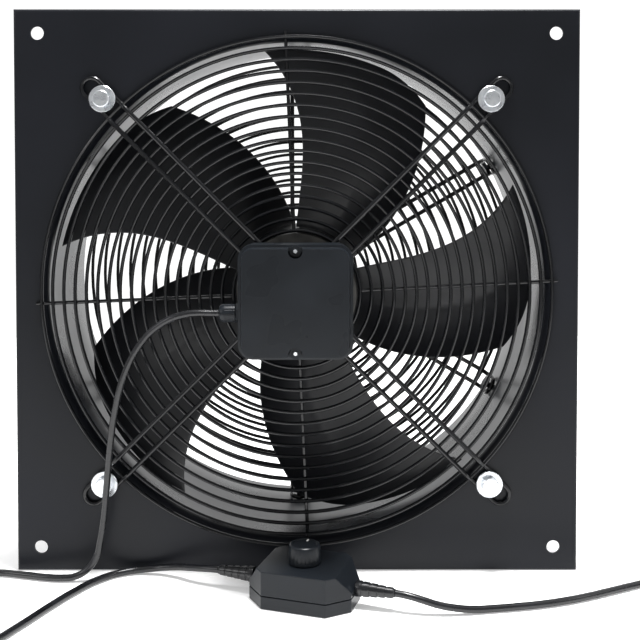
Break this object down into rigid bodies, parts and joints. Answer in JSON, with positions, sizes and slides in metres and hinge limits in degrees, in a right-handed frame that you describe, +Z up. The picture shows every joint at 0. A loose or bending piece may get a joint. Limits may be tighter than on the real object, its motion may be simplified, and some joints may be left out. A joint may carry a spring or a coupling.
{
  "type": "axial fan",
  "caption": "Square plate-mounted axial fan with short duct, wire guards, sickle blades, terminal box, in-line speed controller, coiled supply lead and plug.",
  "frame": {"origin": "on the fan's axis, in the wall plane that the rear rim of the plate's folded edge bears on", "axes": "+Y along the fan's axis from the grille side through the wall, +Z up, +X to the right as the grille side is faced"},
  "size_m": [0.7036, 0.3007, 0.47],
  "materials": {
    "powder_coat": "semi-gloss black powder coat",
    "wire_coat": "semi-gloss black coated wire",
    "blade_paint": "satin black paint",
    "zinc": "bright zinc plate",
    "black_screw": "black oxide",
    "cast_aluminium": "fine cast",
    "bearing_steel": "ground",
    "core_steel": "laminated",
    "copper": "enamelled wire",
    "box_plastic": "satin moulded",
    "seal_rubber": "matte",
    "terminal_plastic": "satin moulded",
    "capacitor_plastic": "satin moulded",
    "lead_pvc": "smooth flexible sheath",
    "board_green": "satin laminate",
    "brass": "turned or stamped"
  },
  "bodies": {
    "frame": {"wall_plate": "powder_coat", "duct_tube": "powder_coat", "front_grille": "wire_coat", "rear_guard": "wire_coat", "grille_bolt_1": "zinc", "grille_bolt_2": "zinc", "grille_bolt_3": "zinc", "grille_bolt_4": "zinc", "grille_washer_1": "zinc", "grille_washer_2": "zinc", "grille_washer_3": "zinc", "grille_washer_4": "zinc", "lid_screw_1": "zinc", "lid_screw_2": "zinc", "motor_flange_screw_1": "black_screw", "motor_flange_screw_2": "black_screw", "motor_flange_screw_3": "black_screw", "motor_flange_screw_4": "black_screw", "rear_guard_screw_1": "black_screw", "rear_guard_screw_2": "black_screw", "rear_guard_screw_3": "black_screw", "rear_guard_screw_4": "black_screw", "rear_guard_screw_5": "black_screw", "rear_guard_screw_6": "black_screw", "motor_flange": "cast_aluminium", "front_bearing": "bearing_steel", "rear_bearing": "bearing_steel", "stator_core": "core_steel", "stator_winding": "copper", "terminal_box_base": "box_plastic", "terminal_box_lid": "box_plastic", "cable_gland_body": "box_plastic", "cable_gland_nut": "box_plastic", "controller_base": "box_plastic", "controller_cover": "box_plastic", "terminal_box_gasket": "seal_rubber", "terminal_block": "terminal_plastic", "run_capacitor": "capacitor_plastic", "controller_circuit_board": "board_green", "potentiometer": "brass", "plug_blade_1": "brass", "plug_blade_2": "brass", "plug_ground_pin": "brass", "supply_strain_relief": "lead_pvc", "motor_lead_strain_relief": "lead_pvc", "motor_lead": "lead_pvc", "supply_lead": "lead_pvc", "supply_lead_coil": "lead_pvc", "plug_strain_relief": "lead_pvc", "plug_body": "lead_pvc"},
    "impeller": {"rotor_shell": "blade_paint", "rotor_cage": "cast_aluminium", "motor_shaft": "bearing_steel", "blade_1": "blade_paint", "blade_2": "blade_paint", "blade_3": "blade_paint", "blade_4": "blade_paint", "blade_5": "blade_paint"},
    "knob": {"controller_knob": "box_plastic", "potentiometer_shaft": "bearing_steel"}
  },
  "joints": [
    {"name": "impeller_spin", "type": "hinge", "parent": "frame", "child": "impeller", "pos_m": [0, 0, 0], "axis": [0, 1, 0], "continuous": true},
    {"name": "knob_turn", "type": "hinge", "parent": "frame", "child": "knob", "pos_m": [0.007, -0.069, 0], "axis": [0, 0, 1], "range_deg": [-135, 135]}
  ]
}
